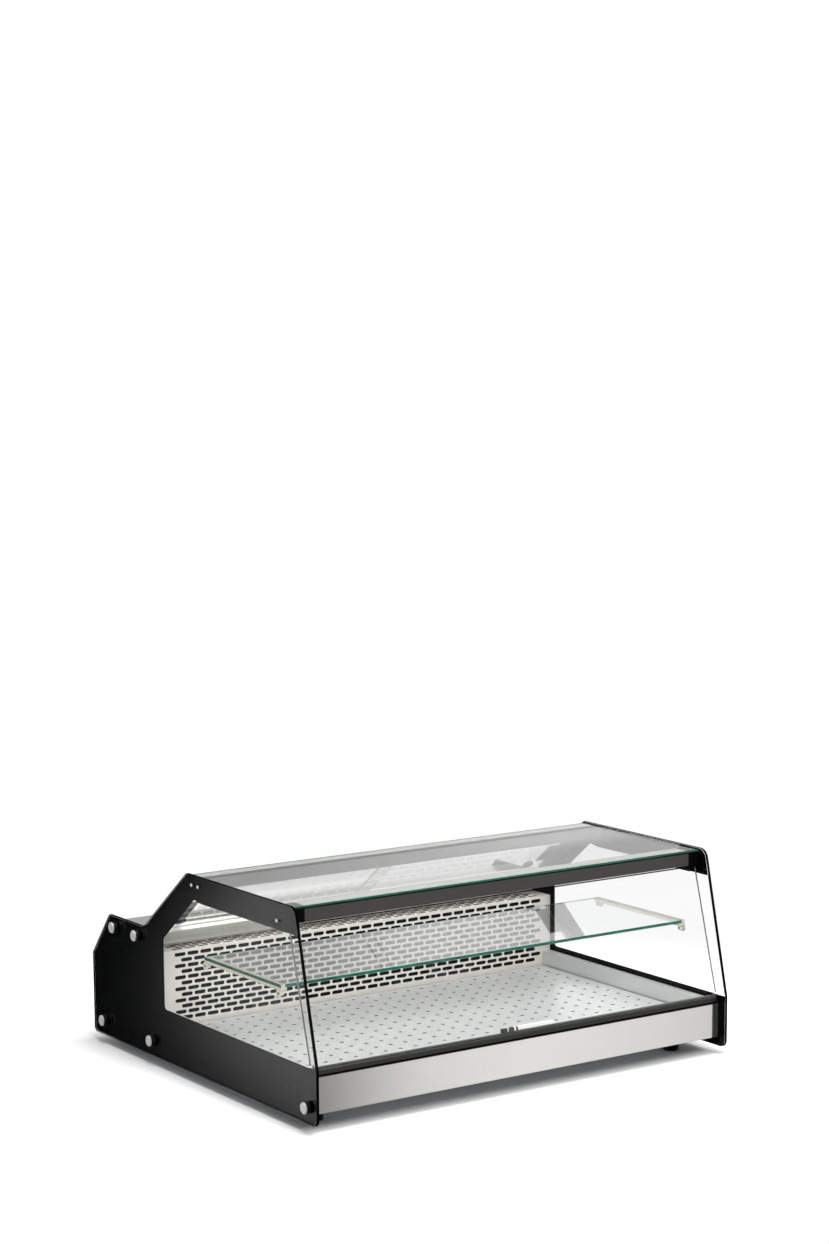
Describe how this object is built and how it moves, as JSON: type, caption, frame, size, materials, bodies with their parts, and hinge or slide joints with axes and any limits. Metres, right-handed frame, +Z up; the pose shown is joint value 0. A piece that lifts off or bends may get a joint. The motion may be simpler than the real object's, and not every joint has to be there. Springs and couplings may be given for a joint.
{
  "type": "refrigerated fish display case",
  "caption": "Counter-top refrigerated display case with printed glass end panels, tilting front glass, glass shelf, ice well and rear sliding doors.",
  "frame": {"origin": "middle of the bounding box on the table top, under the feet", "axes": "+X along the width to the customer's right, +Y from the customer's side to the back, +Z up"},
  "size_m": [1.021, 0.88, 0.423],
  "materials": {
    "printed_glass": "gloss",
    "clear_glass": "gloss",
    "stainless": "satin",
    "galvanised": "satin",
    "panelled_foam": "satin",
    "bright_steel": "polished",
    "foam": "matte",
    "dark_metal": "satin",
    "light_aluminium": "satin",
    "black_plastic": "satin",
    "black_rubber": "matte",
    "white_plastic": "gloss",
    "tinted_plastic": "gloss",
    "opal_plastic": "satin",
    "coated_fins": "satin",
    "fin_metal": "satin",
    "black_enamel": "gloss",
    "copper": "satin",
    "key_plastic": "satin",
    "rocker_plastic": "gloss"
  },
  "bodies": {
    "case": {"left_end_panel": "printed_glass", "right_end_panel": "printed_glass", "top_glass": "clear_glass", "fascia": "stainless", "well_liner": "stainless", "evaporator_cover": "stainless", "rear_deck": "stainless", "rear_grille": "stainless", "control_panel": "stainless", "carcass_shell": "galvanised", "unit_plate": "galvanised", "partition": "panelled_foam", "panel_caps": "bright_steel", "beam_screws": "bright_steel", "shelf_pins": "bright_steel", "panel_studs": "bright_steel", "base_insulation": "foam", "front_beam": "dark_metal", "rear_beam": "dark_metal", "door_track": "light_aluminium", "panel_collars": "black_plastic", "hinge_channel": "black_plastic", "pivot_blocks": "black_plastic", "beam_brackets": "black_plastic", "door_jambs": "black_plastic", "evaporator_fan_frames": "black_plastic", "condenser_fan_frame": "black_plastic", "supply_gland": "black_plastic", "controller": "black_plastic", "switch_frame": "black_plastic", "edge_trims": "black_rubber", "panel_spacers": "black_rubber", "feet": "black_rubber", "compressor_mounts": "black_rubber", "thermometer": "white_plastic", "drain_spigot": "white_plastic", "thermometer_end": "tinted_plastic", "lamp_diffuser": "opal_plastic", "condenser_coil": "fin_metal", "evaporator_coil": "coated_fins", "compressor": "black_enamel", "refrigerant_pipes": "copper"},
    "front_glass_leaf": {"front_glass": "clear_glass", "glass_rail": "dark_metal", "rail_pivots": "black_plastic", "glass_top_seal": "black_rubber"},
    "left_door_leaf": {"left_door": "clear_glass", "left_door_grip": "black_plastic"},
    "right_door_leaf": {"right_door": "clear_glass", "right_door_grip": "black_plastic"},
    "shelf": {"shelf_glass": "clear_glass", "shelf_rails": "stainless"},
    "tray": {"ice_tray": "stainless"},
    "left_evaporator_rotor": {"left_evaporator_fan": "black_plastic"},
    "right_evaporator_rotor": {"right_evaporator_fan": "black_plastic"},
    "condenser_rotor": {"condenser_fan": "black_plastic"},
    "rocker": {"switch_rocker": "rocker_plastic"},
    "set_button": {"set_key": "key_plastic"},
    "up_button": {"up_key": "key_plastic"},
    "down_button": {"down_key": "key_plastic"}
  },
  "joints": [
    {"name": "front_glass_tilt", "type": "hinge", "parent": "case", "child": "front_glass_leaf", "pos_m": [0, -0.409, 0.117], "axis": [1, 0, 0], "range_deg": [0, 90]},
    {"name": "left_door_slide", "type": "slide", "parent": "case", "child": "left_door_leaf", "axis": [1, 0, 0], "range_m": [0, 0.468]},
    {"name": "right_door_slide", "type": "slide", "parent": "case", "child": "right_door_leaf", "axis": [-1, 0, 0], "range_m": [0, 0.468]},
    {"name": "shelf_lift", "type": "slide", "parent": "case", "child": "shelf", "axis": [0, 0, 1], "range_m": [0, 0.05]},
    {"name": "tray_lift", "type": "slide", "parent": "case", "child": "tray", "axis": [0, 0, 1], "range_m": [0, 0.1]},
    {"name": "left_evaporator_spin", "type": "hinge", "parent": "case", "child": "left_evaporator_rotor", "pos_m": [-0.22, 0.163, 0.155], "axis": [0, 1, 0], "continuous": true},
    {"name": "right_evaporator_spin", "type": "hinge", "parent": "case", "child": "right_evaporator_rotor", "pos_m": [0.22, 0.163, 0.155], "axis": [0, 1, 0], "continuous": true},
    {"name": "condenser_spin", "type": "hinge", "parent": "case", "child": "condenser_rotor", "pos_m": [0.14, 0.367, 0.1135], "axis": [0, 1, 0], "continuous": true},
    {"name": "switch_rock", "type": "hinge", "parent": "case", "child": "rocker", "pos_m": [0.42, 0.38967, 0.22511], "axis": [1, 0, 0], "range_deg": [0, 16]},
    {"name": "set_press", "type": "slide", "parent": "case", "child": "set_button", "axis": [0, -0.7756, -0.6313], "range_m": [0, 0.001], "stiffness_N_per_m": 400, "springref_m": -0.0005},
    {"name": "up_press", "type": "slide", "parent": "case", "child": "up_button", "axis": [0, -0.7756, -0.6313], "range_m": [0, 0.001], "stiffness_N_per_m": 400, "springref_m": -0.0005},
    {"name": "down_press", "type": "slide", "parent": "case", "child": "down_button", "axis": [0, -0.7756, -0.6313], "range_m": [0, 0.001], "stiffness_N_per_m": 400, "springref_m": -0.0005}
  ]
}
